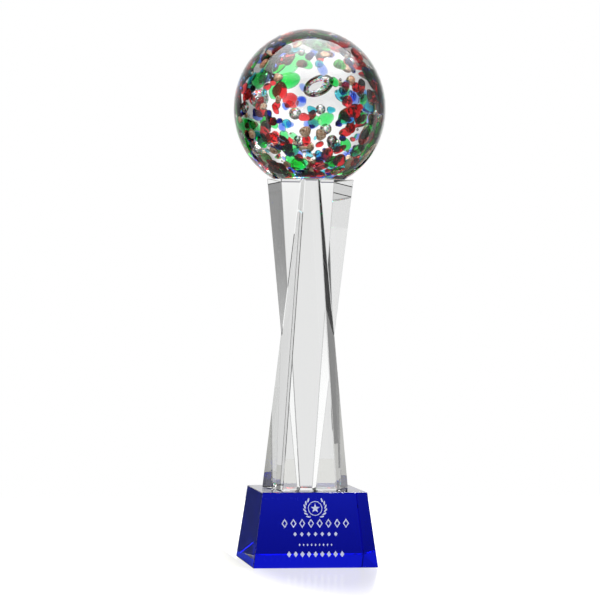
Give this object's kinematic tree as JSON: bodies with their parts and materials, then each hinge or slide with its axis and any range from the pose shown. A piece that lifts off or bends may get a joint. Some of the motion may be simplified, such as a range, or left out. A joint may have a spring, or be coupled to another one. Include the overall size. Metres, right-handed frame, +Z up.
{
  "type": "column trophy",
  "caption": "Tall award: a clear faceted crystal column on a tapered blue crystal block, topped by an art-glass ball with coloured chips and bubbles inside.",
  "frame": {"origin": "centre of the flat underside of the base", "axes": "+Z up through the tower and the ball, -Y towards the engraved front face, +X to its right"},
  "size_m": [0.1, 0.1, 0.3505],
  "materials": {
    "blue_crystal": "polished cobalt-blue crystal",
    "clear_adhesive": "cured clear UV adhesive",
    "clear_crystal": "polished clear optical crystal",
    "clear_glass": "fire-polished clear glass",
    "red_glass": "coloured glass chip",
    "green_glass": "coloured glass chip",
    "blue_glass": "coloured glass chip",
    "teal_glass": "coloured glass chip",
    "navy_glass": "coloured glass chip",
    "amber_glass": "coloured glass chip with metallic flecks"
  },
  "bodies": {
    "root": {"crystal_base": "blue_crystal", "tower_bond_film": "clear_adhesive", "crystal_tower": "clear_crystal", "ball_bond_film": "clear_adhesive", "ball_casing": "clear_glass", "ball_core": "clear_glass", "red_chips": "red_glass", "green_chips": "green_glass", "blue_chips": "blue_glass", "teal_chips": "teal_glass", "navy_chips": "navy_glass", "amber_chips": "amber_glass"}
  },
  "joints": []
}
